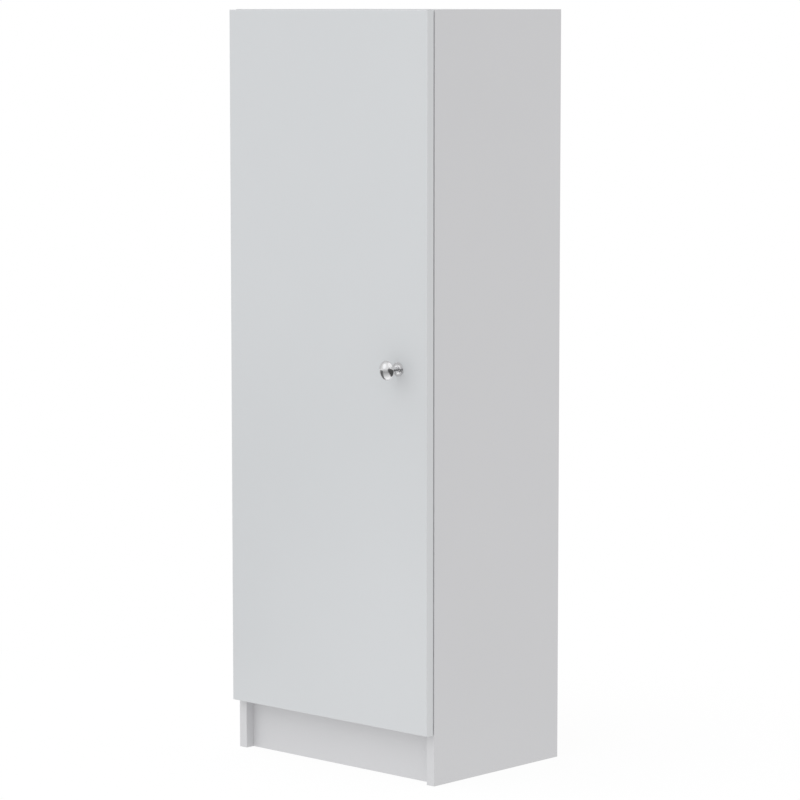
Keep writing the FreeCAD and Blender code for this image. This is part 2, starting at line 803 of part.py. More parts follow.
def door_stops():
    """Rubber pads that keep the door off the right side panel."""
    pads = []
    radius = stop_diameter / 2
    top = door_gap - stop_clearance
    for z in (z_door_bottom + stop_end_distance, z_door_top - stop_end_distance):
        centre = Vector(x_right - side_thickness / 2, y_door_inner, z)
        profile = [(radius, 0), (radius, top - stop_taper), (stop_tip_diameter / 2, top)]
        pads.append(lathe(profile, cam_sides, centre, BACK))
    return Part.makeCompound(pads)


# Wall bracket

def wall_hole_centre(y):
    return Vector(0, y, z_ceiling - bracket_hole_distance)


def wall_bracket():
    """Steel angle under the top panel, against the back panel."""
    half = bracket_thickness / 2
    path = [
        Vector(0, y_panel_front - bracket_leg, z_ceiling - half),
        Vector(0, y_panel_front - half, z_ceiling - half),
        Vector(0, y_panel_front - half, z_ceiling - bracket_leg),
    ]
    angle = strip(path, bracket_bend_radius, bracket_thickness, RIGHT * bracket_width)
    angle.translate(RIGHT * (-bracket_width / 2))
    start = wall_hole_centre(y_panel_front - bracket_thickness)
    angle = drill(angle, wall_hole_diameter, bracket_thickness, start, BACK)
    return pilot_drill(angle, bracket_screw_seats(), UP)


def bracket_screw_seats():
    """Undersides of the bracket where its screws go up into the top panel."""
    y = y_panel_front - bracket_hole_distance
    half = bracket_screw_spacing / 2
    return [Vector(x, y, z_ceiling - bracket_thickness) for x in (-half, half)]


def pieces():
    """Every piece of the cupboard by name."""
    parts = {
        "left_side_panel": side_panel(x_left, RIGHT),
        "right_side_panel": side_panel(x_right, RIGHT * -1),
        "left_edge_band": front_band(x_left, x_inner_left, 0, height, y_front),
        "right_edge_band": front_band(x_inner_right, x_right, 0, height, y_front),
        "top_panel": top_panel(),
        "top_edge_band": front_band(x_inner_left, x_inner_right, z_ceiling, height, y_front),
        "bottom_panel": bottom_panel(),
        "bottom_edge_band": front_band(x_inner_left, x_inner_right, z_bottom, z_floor, y_front),
        "kickboard": kickboard(),
        "back_panel": back_panel(),
        "shelf": shelf(),
        "shelf_edge_band": shelf_band(),
        "shelf_pins": shelf_pins(),
        "cam_locks": cam_locks(),
        "cam_bolts": cam_bolts(),
        "wooden_dowels": dowels(),
        "door_panel": door_panel(),
        "door_edge_band": door_edge_band(),
        "hinge_cup_screws": screws_at(cup_screw_seats(), BACK * -1),
        "hinge_plate_screws": screws_at(plate_screw_seats(), RIGHT * -1),
        "hinge_arm_screws": arm_screws(),
        "knob": knob(),
        "knob_base": knob_base(),
        "knob_screw": knob_screw(),
        "catch_body": catch_body(),
        "catch_magnet": catch_magnet(),
        "catch_strike": catch_strike(),
        "catch_screws": screws_at(catch_screw_seats(), RIGHT),
        "strike_screws": screws_at(strike_screw_seats(), BACK * -1),
        "door_stops": door_stops(),
        "wall_bracket": wall_bracket(),
        "wall_bracket_screws": screws_at(bracket_screw_seats(), UP),
    }
    for name, z in zip(hinge_names, hinge_heights):
        parts[name + "_cup"] = hinge_cup(z)
        parts[name + "_pivot"] = hinge_pivot(z)
        parts[name + "_arm"] = hinge_arm(z)
        parts[name + "_plate"] = hinge_plate(z)
    return parts


os.makedirs("parts", exist_ok=True)
for name, shape in pieces().items():
    print("%-22s %d solid(s) %s %.0f mm3" % (name, len(shape.Solids), shape.isValid(), shape.Volume))
    shape.exportStep("parts/" + name + ".step")
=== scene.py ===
import json
import math

import bmesh
import bpy
import numpy as np
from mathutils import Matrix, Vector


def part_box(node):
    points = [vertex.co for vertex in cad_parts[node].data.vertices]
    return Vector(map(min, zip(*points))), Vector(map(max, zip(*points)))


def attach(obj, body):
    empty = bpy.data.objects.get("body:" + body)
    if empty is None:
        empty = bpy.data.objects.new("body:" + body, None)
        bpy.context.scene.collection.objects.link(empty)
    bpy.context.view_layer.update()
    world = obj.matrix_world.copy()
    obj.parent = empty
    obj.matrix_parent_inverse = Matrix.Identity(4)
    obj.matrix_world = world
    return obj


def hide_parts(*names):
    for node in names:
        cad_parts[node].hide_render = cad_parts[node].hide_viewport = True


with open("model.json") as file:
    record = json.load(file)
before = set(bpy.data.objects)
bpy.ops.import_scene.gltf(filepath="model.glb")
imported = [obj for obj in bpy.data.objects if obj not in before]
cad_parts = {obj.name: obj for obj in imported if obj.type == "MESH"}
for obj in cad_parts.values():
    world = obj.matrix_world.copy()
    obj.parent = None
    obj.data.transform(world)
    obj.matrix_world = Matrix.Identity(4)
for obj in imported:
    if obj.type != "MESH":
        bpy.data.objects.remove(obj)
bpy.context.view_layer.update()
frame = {"nodes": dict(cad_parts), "record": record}
print("frame loaded:", len(frame["nodes"]), "pieces")

mm = 0.001
touching = 0.001 * mm  # points nearer to each other than this count as one
bodyOf = {node: body for body, nodes in frame["record"]["behaviour"]["bodies"].items() for node in nodes}


# Shader maths

class Signal:
    # A socket of a material. Arithmetic on it adds Math nodes, and node() adds any other node.
    def __init__(self, tree, socket=None):
        self.tree = tree
        self.socket = socket

    def node(self, kind, settings=None, inputs=None, output=0):
        made = self.tree.nodes.new(kind)
        for name, value in (settings or {}).items():
            setattr(made, name, value)
        for name, value in (inputs or {}).items():
            if isinstance(value, Signal):
                self.tree.links.new(value.socket, made.inputs[name])
            else:
                made.inputs[name].default_value = value
        return Signal(self.tree, made.outputs[output])

    def math(self, operation, first, second):
        return self.node("ShaderNodeMath", {"operation": operation}, {0: first, 1: second})

    def __add__(self, other):
        return self.math("ADD", self, other)

    def __radd__(self, other):
        return self.math("ADD", other, self)

    def __sub__(self, other):
        return self.math("SUBTRACT", self, other)

    def __rsub__(self, other):
        return self.math("SUBTRACT", other, self)

    def __mul__(self, other):
        return self.math("MULTIPLY", self, other)

    def __rmul__(self, other):
        return self.math("MULTIPLY", other, self)

    def __gt__(self, other):
        return self.math("GREATER_THAN", self, other)

    def __lt__(self, other):
        return self.math("LESS_THAN", self, other)


def rgba(colour):
    return (*colour, 1.0)


def blendColours(factor, low, high):
    # Inputs 6 and 7 and output 2 are the colours of a Mix node.
    return factor.node("ShaderNodeMix", {"data_type": "RGBA"}, {0: factor, 6: low, 7: high}, 2)


def tinted(factor, colour, darker, lighter):
    # The colour times 1 - darker where the factor is 0, and times 1 + lighter where it is 1.
    low = rgba([c * (1 - darker) for c in colour])
    high = rgba([min(1.0, c * (1 + lighter)) for c in colour])
    return blendColours(factor, low, high)


def varied(middle, noise, share):
    # A value that moves by half the share to both sides as the noise goes from 0 to 1.
    return middle + (noise - 0.5) * share


def startFinish(name):
    # A new material with its object coordinates.
    material = bpy.data.materials.new(name)
    material.use_nodes = True
    coords = Signal(material.node_tree).node("ShaderNodeTexCoord", output="Object")
    return material, coords


def axesOf(coords):
    # X, Y and Z on their own.
    return [coords.node("ShaderNodeSeparateXYZ", None, {0: coords}, n) for n in range(3)]


def noiseAt(coords, perMetre, detail=2.0, roughness=0.5):
    # Noise from 0 to 1, with a size given as waves per metre.
    return coords.node("ShaderNodeTexNoise", None,
                       {"Vector": coords, "Scale": perMetre, "Detail": detail, "Roughness": roughness})


def stretched(coords, scale):
    # A scale below 1 draws the pattern out along that axis.
    return coords.node("ShaderNodeMapping", None, {"Vector": coords, "Scale": scale})


def bumpFrom(height):
    # Heights are in metres, so the node's distance is 1.
    return height.node("ShaderNodeBump", None, {"Strength": 1.0, "Distance": 1.0, "Height": height})


def endFinish(material, **sockets):
    # Links or sets the sockets of the material's shader by their names, with _ for a space.
    shader = material.node_tree.nodes["Principled BSDF"]
    for name, value in sockets.items():
        socket = shader.inputs[name.replace("_", " ")]
        if isinstance(value, Signal):
            material.node_tree.links.new(value.socket, socket)
        else:
            socket.default_value = value
    return material


# Board finishes: white melamine on both faces, chipboard in between

melamine = {
    "carcassColour": (0.665, 0.665, 0.678),
    "doorColour": (0.655, 0.670, 0.683),
    "tintShare": 0.012,        # slow variation of the paper's colour
    "tintPerMetre": 5.0,
    "roughness": 0.42,
    "roughnessShare": 0.06,
    "grainPerMetre": 1400.0,   # fine pearl of the pressed surface
    "grainHeight": 0.012 * mm,
    "skin": 0.25 * mm,         # thickness of the paper on the chips
    "topTrim": 1.0 * mm,       # thickness of the edging on the sides' upper ends
}
chipboard = {
    "light": (0.63, 0.47, 0.30),
    "dark": (0.33, 0.21, 0.12),
    "resin": (0.47, 0.34, 0.21),
    "resinShare": 0.5,
    "flakesPerMetre": 420.0,
    "flakeStretch": (1.0, 1.0, 0.6),
    "dustPerMetre": 2600.0,
    "dustRelief": 0.4,         # beside 1 for the flakes
    "relief": 0.25 * mm,
    "roughness": 0.86,
}


def chipboardColour(coords):
    # Flakes are Voronoi cells with one value each, and dust is fine noise over them.
    place = stretched(coords, chipboard["flakeStretch"])
    flakes = coords.node("ShaderNodeTexVoronoi", None,
                         {"Vector": place, "Scale": chipboard["flakesPerMetre"]}, 1)
    value = flakes.node("ShaderNodeSeparateColor", None, {0: flakes})
    dust = noiseAt(coords, chipboard["dustPerMetre"])
    wood = blendColours(value, rgba(chipboard["dark"]), rgba(chipboard["light"]))
    colour = blendColours(dust * chipboard["resinShare"], wood, rgba(chipboard["resin"]))
    return colour, value + dust * chipboard["dustRelief"]


def boardFinish(name, colour, axis, low, high, trimTop=None):
    # The core shows where a surface lies deeper than the skin under both faces of the board.
    material, coords = startFinish(name)
    across = axesOf(coords)[axis]
    core = (across > low + melamine["skin"]) * (across < high - melamine["skin"])
    if trimTop is not None:  # the upper end is edged, so no core shows there
        core = core * (axesOf(coords)[2] < trimTop)
    slow = noiseAt(coords, melamine["tintPerMetre"])
    paper = tinted(slow, colour, melamine["tintShare"], melamine["tintShare"])
    grain = noiseAt(coords, melamine["grainPerMetre"])
    chips, relief = chipboardColour(coords)
    smooth = varied(melamine["roughness"], grain, melamine["roughnessShare"])
    rough = smooth * (1 - core) + core * chipboard["roughness"]
    height = grain * melamine["grainHeight"] * (1 - core) + relief * core * chipboard["relief"]
    return endFinish(material, Base_Color=blendColours(core, paper, chips), Roughness=rough,
                     Normal=bumpFrom(height))


edging = {
    "carcassColour": (0.668, 0.668, 0.680),
    "doorColour": (0.672, 0.684, 0.695),
    "tintShare": 0.01,
    "roughness": 0.36,
    "roughnessShare": 0.08,
    "linesPerMetre": 1800.0,   # faint marks of the scraper along the strip
    "lineStretch": 0.01,
    "lineHeight": 0.006 * mm,
}


def edgingFinish(name, colour, along):
    # Plastic strip with faint lines along one axis.
    material, coords = startFinish(name)
    scale = [1.0, 1.0, 1.0]
    scale[along] = edging["lineStretch"]
    lines = noiseAt(stretched(coords, scale), edging["linesPerMetre"])
    tint = tinted(lines, colour, edging["tintShare"], edging["tintShare"])
    return endFinish(material, Base_Color=tint, Normal=bumpFrom(lines * edging["lineHeight"]),
                     Roughness=varied(edging["roughness"], lines, edging["roughnessShare"]))


hardboard = {
    "white": (0.655, 0.655, 0.662),
    "brownLight": (0.40, 0.25, 0.14),
    "brownDark": (0.24, 0.14, 0.075),
    "paintDepth": 0.2 * mm,
    "fibresPerMetre": 900.0,
    "fibreStretch": (1.0, 1.0, 0.5),
    "fibreDetail": 4.0,
    "fibreRoughness": 0.65,
    "cloudsPerMetre": 14.0,    # slow patches in the brown
    "cloudDetail": 3.0,
    "cloudShare": 0.25,
    "paintRoughness": 0.5,
    "bareRoughness": 0.78,
    "roughnessShare": 0.1,
    "relief": 0.08 * mm,
    "reliefInPaint": 0.15,     # share of the relief that the paint leaves
}


def backFinish(name, whiteBefore):
    # Painted in front of whiteBefore, bare brown fibre behind it.
    material, coords = startFinish(name)
    bare = axesOf(coords)[1] > whiteBefore
    fibres = noiseAt(stretched(coords, hardboard["fibreStretch"]), hardboard["fibresPerMetre"],
                     hardboard["fibreDetail"], hardboard["fibreRoughness"])
    clouds = noiseAt(coords, hardboard["cloudsPerMetre"], hardboard["cloudDetail"])
    mixed = fibres * (1 - hardboard["cloudShare"]) + clouds * hardboard["cloudShare"]
    brown = blendColours(mixed, rgba(hardboard["brownDark"]), rgba(hardboard["brownLight"]))
    middle = hardboard["paintRoughness"] + bare * (hardboard["bareRoughness"] - hardboard["paintRoughness"])
    relief = hardboard["reliefInPaint"] + bare * (1 - hardboard["reliefInPaint"])
    return endFinish(material, Base_Color=blendColours(bare, rgba(hardboard["white"]), brown),
                     Roughness=varied(middle, fibres, hardboard["roughnessShare"]),
                     Normal=bumpFrom(fibres * hardboard["relief"] * relief))


# Metals, plastics, wood and the magnet

metals = {  # spread is the slow variation of the colour, and smudge adds to the roughness in the same patches
    "nickelPlate": {"colour": (0.65, 0.64, 0.62), "roughness": 0.24, "grainPerMetre": 1800.0,
                    "relief": 0.0018 * mm, "spread": 0.06, "smudge": 0.0},
    "screwZinc": {"colour": (0.62, 0.62, 0.63), "roughness": 0.30, "grainPerMetre": 2600.0,
                  "relief": 0.002 * mm, "spread": 0.12, "smudge": 0.0},
    "castZinc": {"colour": (0.42, 0.42, 0.43), "roughness": 0.48, "grainPerMetre": 1500.0,
                 "relief": 0.03 * mm, "spread": 0.12, "smudge": 0.0},
    "galvanisedSteel": {"colour": (0.55, 0.56, 0.58), "roughness": 0.36, "grainPerMetre": 700.0,
                        "relief": 0.01 * mm, "spread": 0.25, "smudge": 0.0},
    "polishedChrome": {"colour": (0.70, 0.70, 0.71), "roughness": 0.12, "grainPerMetre": 900.0,
                       "relief": 0.0008 * mm, "spread": 0.02, "smudge": 0.03},
}
metalGrain = {
    "detail": 3.0,
    "roughnessShare": 0.6,     # of the roughness itself
    "patchesPerMetre": 60.0,
}


def metalFinish(name):
    # Plated or cast metal: fine grain in the relief and roughness, slow patches in the colour.
    metal = metals[name]
    material, coords = startFinish(name)
    grain = noiseAt(coords, metal["grainPerMetre"], metalGrain["detail"])
    patches = noiseAt(coords, metalGrain["patchesPerMetre"])
    tint = tinted(patches, metal["colour"], metal["spread"] / 2, metal["spread"] / 2)
    rough = metal["roughness"] * varied(1, grain, metalGrain["roughnessShare"]) + patches * metal["smudge"]
    return endFinish(material, Base_Color=tint, Metallic=1.0, Roughness=rough,
                     Normal=bumpFrom(grain * metal["relief"]))


plastics = {
    "catchPlastic": {"colour": (0.72, 0.72, 0.71), "roughness": 0.44, "grainPerMetre": 1200.0,
                     "relief": 0.02 * mm},
    "stopRubber": {"colour": (0.55, 0.56, 0.55), "roughness": 0.55, "grainPerMetre": 500.0,
                   "relief": 0.01 * mm},
}
plasticGrain = {
    "roughnessShare": 0.1,
    "patchesPerMetre": 40.0,   # slow patches of the colour, from darker to lighter
    "darker": 0.015,
    "lighter": 0.01,
}


def plasticFinish(name):
    # Moulded plastic or rubber: fine grain in the relief and roughness, slow patches in the colour.
    plastic = plastics[name]
    material, coords = startFinish(name)
    grain = noiseAt(coords, plastic["grainPerMetre"])
    patches = noiseAt(coords, plasticGrain["patchesPerMetre"])
    tint = tinted(patches, plastic["colour"], plasticGrain["darker"], plasticGrain["lighter"])
    return endFinish(material, Base_Color=tint, Normal=bumpFrom(grain * plastic["relief"]),
                     Roughness=varied(plastic["roughness"], grain, plasticGrain["roughnessShare"]))


beech = {
    "light": (0.68, 0.49, 0.31),
    "dark": (0.52, 0.34, 0.19),
    "pore": (0.36, 0.22, 0.12),
    "grainPerMetre": 900.0,
    "grainStretch": (0.05, 1.0, 1.0),
    "grainDetail": 3.0,
    "poresPerMetre": 1600.0,
    "poreStretch": (0.12, 1.0, 1.0),
    "poreReach": 0.18,         # half width of a pore, as a share of its cell
    "roughness": 0.62,
    "roughnessShare": 0.2,
    "relief": 0.05 * mm,
}


def beechFinish(name):
    # Grain runs along X, with short dark pores.
    material, coords = startFinish(name)
    grain = noiseAt(stretched(coords, beech["grainStretch"]), beech["grainPerMetre"], beech["grainDetail"])
    place = stretched(coords, beech["poreStretch"])
    fromPore = coords.node("ShaderNodeTexVoronoi", None, {"Vector": place, "Scale": beech["poresPerMetre"]})
    wood = blendColours(grain, rgba(beech["dark"]), rgba(beech["light"]))
    colour = blendColours(fromPore < beech["poreReach"], wood, rgba(beech["pore"]))
    return endFinish(material, Base_Color=colour, Normal=bumpFrom(grain * beech["relief"]),
                     Roughness=varied(beech["roughness"], grain, beech["roughnessShare"]))


magnet = {
    "steelLight": (0.62, 0.62, 0.61),
    "steelDark": (0.50, 0.50, 0.49),
    "ferriteLight": (0.10, 0.10, 0.105),
    "ferriteDark": (0.045, 0.045, 0.05),
    "keeperThickness": 1.5 * mm,
    "grainPerMetre": 1500.0,
    "grainDetail": 3.0,
    "steelRoughness": 0.34,
    "ferriteRoughness": 0.74,
    "roughnessShare": 0.1,
    "relief": 0.02 * mm,
}


def magnetFinish(name, low, high):
    # Dark ferrite between low and high across X, bright steel keepers outside them.
    material, coords = startFinish(name)
    across = axesOf(coords)[0]
    ferrite = (across > low) * (across < high)
    grain = noiseAt(coords, magnet["grainPerMetre"], magnet["grainDetail"])
    steel = blendColours(grain, rgba(magnet["steelDark"]), rgba(magnet["steelLight"]))
    dark = blendColours(grain, rgba(magnet["ferriteDark"]), rgba(magnet["ferriteLight"]))
    middle = magnet["steelRoughness"] + ferrite * (magnet["ferriteRoughness"] - magnet["steelRoughness"])
    return endFinish(material, Base_Color=blendColours(ferrite, steel, dark), Metallic=1 - ferrite,
                     Roughness=varied(middle, grain, magnet["roughnessShare"]),
                     Normal=bumpFrom(grain * magnet["relief"]))


def paint(node, material):
    # One material on every slot of a piece from the frame.
    slots = frame["nodes"][node].data.materials
    slots.clear()
    slots.append(material)


def boxOf(node):
    # The lowest and the highest corner of a piece from the frame.
    return [np.array(corner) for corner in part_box(node)]


# Pieces that stay as the frame has them: boards, edge bands, back panel, cam bolts, dowels and magnet

for node, axis in (("left_side_panel", 0), ("right_side_panel", 0), ("top_panel", 2), ("bottom_panel", 2),
                   ("shelf", 2), ("kickboard", 1)):
    low, high = boxOf(node)
    trimTop = high[2] - melamine["topTrim"] if axis == 0 else None
    finish = boardFinish(node + "Melamine", melamine["carcassColour"], axis, low[axis], high[axis], trimTop)
    paint(node, finish)
low, high = boxOf("door_panel")
paint("door_panel", boardFinish("doorMelamine", melamine["doorColour"], 1, low[1], high[1]))

uprightEdging = edgingFinish("uprightEdging", edging["carcassColour"], 2)
lyingEdging = edgingFinish("lyingEdging", edging["carcassColour"], 0)
doorEdging = edgingFinish("doorEdging", edging["doorColour"], 2)
for node, finish in (("left_edge_band", uprightEdging), ("right_edge_band", uprightEdging),
                     ("top_edge_band", lyingEdging), ("bottom_edge_band", lyingEdging),
                     ("shelf_edge_band", lyingEdging), ("door_edge_band", doorEdging)):
    paint(node, finish)
low, high = boxOf("back_panel")
paint("back_panel", backFinish("backHardboard", low[1] + hardboard["paintDepth"]))

nickel = metalFinish("nickelPlate")
screwZinc = metalFinish("screwZinc")
castZinc = metalFinish("castZinc")
galvanised = metalFinish("galvanisedSteel")
chrome = metalFinish("polishedChrome")
catchPlastic = plasticFinish("catchPlastic")
stopRubber = plasticFinish("stopRubber")
paint("cam_bolts", screwZinc)
paint("wooden_dowels", beechFinish("beechDowel"))
low, high = boxOf("catch_magnet")
keeper = magnet["keeperThickness"]
paint("catch_magnet", magnetFinish("ferriteMagnet", low[0] + keeper, high[0] - keeper))
print("finishes made:", len(bpy.data.materials))


# Surfaces on a grid of rows and columns

def closedTurning(rings, poles):
    # rings[row, column] are the points of closed rings, and poles are the points that close the two ends.
    rows, columns = rings.shape[:2]
    points = np.concatenate([rings.reshape(-1, 3), np.array(poles)])
    here = np.arange(columns)
    after = (here + 1) % columns
    start = (np.arange(rows - 1) * columns)[:, None]
    quads = np.stack([start + here, start + after, start + columns + after, start + columns + here], 2)
    last = (rows - 1) * columns
    firstFan = np.stack([np.full(columns, rows * columns), after, here], 1)
    lastFan = np.stack([np.full(columns, rows * columns + 1), last + here, last + after], 1)
    return points, quads.reshape(-1, 4), np.concatenate([firstFan, lastFan])


def makePiece(name, shapes, finish, body, sharpAngle):
    # One mesh from several (points, quads, triangles), smooth but for edges sharper than the angle.
    points, faces, base = [], [], 0
    for shapePoints, quads, triangles in shapes:
        points.append(shapePoints)
        faces += (quads + base).tolist() + (triangles + base).tolist()
        base += len(shapePoints)
    mesh = bpy.data.meshes.new(name)
    mesh.from_pydata(np.concatenate(points).tolist(), [], faces)
    mesh.shade_smooth()
    mesh.set_sharp_from_angle(angle=math.radians(sharpAngle))
    mesh.materials.append(finish)
    piece = bpy.data.objects.new(name, mesh)
    bpy.context.scene.collection.objects.link(piece)
    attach(piece, body)
    return piece


def ringsAbout(centre, outward, radius, distance, angle):
    # Points at a radius and an angle about the line through centre, and at a distance along it. The
    # line runs along X, Y or Z, and side is square to it.
    side = np.array((0.0, 0.0, 1.0)) if outward[2] == 0 else np.array((1.0, 0.0, 0.0))
    across = np.cross(outward, side)
    spokes = np.cos(angle)[..., None] * side + np.sin(angle)[..., None] * across
    return centre + outward * distance[..., None] + spokes * radius[..., None]


def turned(radius, distance, centre, outward, columns):
    # Ring n lies at centre + outward * distance[n] and has radius[n].
    angle = np.arange(columns) * 2 * math.pi / columns
    shape = (len(radius), columns)
    rings = ringsAbout(centre, outward, np.broadcast_to(radius[:, None], shape),
                       np.broadcast_to(distance[:, None], shape), np.broadcast_to(angle, shape))
    return closedTurning(rings, [centre + outward * distance[0], centre + outward * distance[-1]])


def solidsOf(node):
    # The corners of each separate solid of a piece: a list of triangles is cut wherever a plane
    # across X, Y or Z passes between them, until nothing can be cut.
    mesh = frame["nodes"][node].data
    mesh.calc_loop_triangles()
    places = np.empty(len(mesh.vertices) * 3)
    mesh.vertices.foreach_get("co", places)
    corners = np.empty(len(mesh.loop_triangles) * 3, int)
    mesh.loop_triangles.foreach_get("vertices", corners)
    waiting, whole = [places.reshape(-1, 3)[corners].reshape(-1, 3, 3)], []
    while waiting:
        group = waiting.pop()
        for axis in range(3):
            group = group[np.argsort(group[:, :, axis].min(1), kind="stable")]
            reach = np.maximum.accumulate(group[:, :, axis].max(1))
            cuts = np.nonzero(group[1:, :, axis].min(1) > reach[:-1] + touching)[0] + 1
            if len(cuts):
                waiting += np.split(group, cuts)
                break
        else:
            whole.append(group.reshape(-1, 3))
    return whole


# Chrome knob on its rose

knob = {
    "columns": 96,
    "bands": 48,               # rows on the neck, and again on the dome
    "rowPower": 0.8,           # below 1 the neck's rows lie closer near the rim
    "neckRadius": 5.5 * mm,
    "flarePower": 3.0,         # how late the neck widens into the head
    "risePower": 0.8,          # how its rows rise on the way to the rim
    "domeHeight": 6.5 * mm,
    "rimStart": 0.12,          # angle at which the dome leaves the rim
    "poleGap": 0.02,           # angle that the dome leaves for the cap at its middle
    "sharpAngle": 60.0,
}
rose = {
    "borderThickness": 1.5 * mm,
    "borderRounding": 0.3 * mm,
    "roundingRows": 9,
    "flatMargin": 0.1 * mm,    # width of the narrow rings that keep the border's shading flat
    "bossRadius": 11.5 * mm,   # foot of the boss that carries the neck
    "bossRows": 24,
}


def knobProfile(low, high, doorFace):
    # The neck widens with a power of the way to the rim, and the dome is a quarter of an ellipse.
    head = (high[0] - low[0]) / 2
    foot = doorFace - high[1]
    rim = doorFace - low[1] - knob["domeHeight"]
    way = np.linspace(0, 1, knob["bands"]) ** knob["rowPower"]
    rise = foot + (rim - foot) * way ** knob["risePower"]
    radius = knob["neckRadius"] + (head - knob["neckRadius"]) * way ** knob["flarePower"]
    angle = np.linspace(knob["rimStart"], math.pi / 2 - knob["poleGap"], knob["bands"])
    domeRise = rim + knob["domeHeight"] * np.sin(angle)
    return np.concatenate([radius[:-1], head * np.cos(angle)]), np.concatenate([rise[:-1], domeRise])


def roseProfile(low, high, doorFace):
    # A flat border with a quarter round at its edge, and a quarter of an ellipse up to the neck.
    border = (high[0] - low[0]) / 2
    top = doorFace - low[1]
    thickness, rounding = rose["borderThickness"], rose["borderRounding"]
    turn = np.linspace(0, math.pi / 2, rose["roundingRows"])
    edge = border - rounding + rounding * np.cos(turn)
    edgeRise = thickness - rounding + rounding * np.sin(turn)
    flat = np.array([edge[-1] - rose["flatMargin"], rose["bossRadius"] + rose["flatMargin"]])
    turn = np.linspace(0, math.pi / 2, rose["bossRows"])
    boss = knob["neckRadius"] + (rose["bossRadius"] - knob["neckRadius"]) * np.cos(turn)
    bossRise = thickness + (top - thickness) * np.sin(turn)
    radius = np.concatenate([[border], edge, flat, boss])
    return radius, np.concatenate([[0.0], edgeRise, [thickness, thickness], bossRise])


knobLow, knobHigh = boxOf("knob")
roseLow, roseHigh = boxOf("knob_base")
doorFace = roseHigh[1]
knobCentre = np.array(((knobLow[0] + knobHigh[0]) / 2, doorFace, (knobLow[2] + knobHigh[2]) / 2))
forwards = np.array((0.0, -1.0, 0.0))
for node, name, profile, low, high in (("knob", "mushroomKnob", knobProfile, knobLow, knobHigh),
                                       ("knob_base", "knobRose", roseProfile, roseLow, roseHigh)):
    radius, distance = profile(low, high, doorFace)
    turning = makePiece(name, [turned(radius, distance, knobCentre, forwards, knob["columns"])],
                        chrome, bodyOf[node], knob["sharpAngle"])
    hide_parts(node)
print("knob made")


# Screws: a pan head with a cross recess, and a shank that ends in a cone

screw = {
    "armHalfWidth": 0.50 * mm,
    "armFloor": 0.8,             # share of the arm's width that is its floor, between the walls
    "hubRadius": 0.73 * mm,      # where the arms meet
    "recessRadius": 2.05 * mm,
    "wallLean": 0.04,            # share of the radius over which the walls rise at the hub and the arms' ends
    "recessDepth": 1.15 * mm,    # at the middle
    "recessShallow": 0.70 * mm,  # at the ends of the arms
    "crown": 0.50 * mm,          # how much the head falls from its middle to its edge
    "crownStart": 1.2,           # first ring outside the recess, as a share of the recess's radius
    "edgeRounding": 0.45 * mm,
    "rootRadius": 1.55 * mm,
    "coneLength": 3.0 * mm,
    "tipRadius": 0.15 * mm,
    "tipLength": 0.1 * mm,
    "armRows": 4,
    "crownRows": 3,
    "rimRows": 4,
    "gapColumns": 5,             # between two arms of the recess
    "headFrom": 0.4,             # distance from the axis past which a corner is the head's, in head widths
    "sharpAngle": 30.0,
}


def overColumns(values, columns):
    # One value for each ring, the same in all its columns.
    return np.repeat(values[:, None], columns, 1)


def screwShape(top, outward, headRadius, headHeight, length):
    # Columns follow the arms of the cross: an arm of half width w takes the angle asin(w / r) to each
    # side, so its walls stay parallel while the radius r grows. The crown is a parabola.
    hub, recess = screw["hubRadius"], screw["recessRadius"]
    lean, rounding = screw["wallLean"], screw["edgeRounding"]
    arms = np.linspace(hub, recess, screw["armRows"])
    outside = np.linspace(recess * screw["crownStart"], headRadius - rounding, screw["crownRows"])
    radius = np.concatenate([[hub * (1 - lean)], arms, [recess * (1 + lean)], outside])
    way = np.arcsin(screw["armHalfWidth"] / np.clip(radius, hub, recess))[:, None]
    share = np.linspace(0, 1, screw["gapColumns"] + 2)[None, :]
    gap = way + (math.pi / 2 - 2 * way) * share
    foot = way * screw["armFloor"]
    quadrant = np.concatenate([0 * way, foot, gap, math.pi / 2 - foot], 1)
    angle = np.concatenate([quadrant + n * math.pi / 2 for n in range(4)], 1)
    columns = angle.shape[1]

    sunk = np.array([1.0, 1.0] + [0.0] * share.size + [1.0])
    crown = -screw["crown"] * (radius / headRadius) ** 2
    depth = np.interp(radius, [hub, recess], [screw["recessDepth"], screw["recessShallow"]])
    inCross = np.tile(sunk, 4)[None, :] * (radius <= recess)[:, None]
    inCross[0] = 1.0
    height = crown[:, None] - inCross * depth[:, None]

    turn = np.linspace(0, math.pi / 2, screw["rimRows"] + 1)[1:]
    rimRadius = headRadius - rounding + rounding * np.sin(turn)
    rimHeight = crown[-1] - rounding * (1 - np.cos(turn))
    tailRadius = np.array([headRadius, screw["rootRadius"], screw["rootRadius"], screw["tipRadius"]])
    tailDepth = np.array([headHeight, headHeight, length - screw["coneLength"], length - screw["tipLength"]])
    below = np.concatenate([rimHeight, -tailDepth])
    rings = ringsAbout(top, outward,
                       overColumns(np.concatenate([radius, rimRadius, tailRadius]), columns),
                       np.concatenate([height, overColumns(below, columns)]),
                       np.concatenate([angle, np.repeat(angle[-1:], len(below), 0)]))
    return closedTurning(rings[::-1], [top - outward * length, top - outward * screw["recessDepth"]])


def screwFrom(corners):
    # Where a screw's head is, which way it faces, and its sizes, from the corners of its solid.
    low, high = corners.min(0), corners.max(0)
    size = high - low
    headSize = np.median(size)
    axis = int(np.argmax(np.abs(size - headSize)))
    middle = (low + high) / 2
    away = np.linalg.norm(np.delete(corners - middle, axis, 1), axis=1)
    head = corners[away > headSize * screw["headFrom"]][:, axis]
    side = 1.0 if head.mean() > middle[axis] else -1.0
    outward = np.zeros(3)
    outward[axis] = side
    return middle + outward * size[axis] / 2, outward, headSize / 2, float(np.ptp(head)), size[axis]


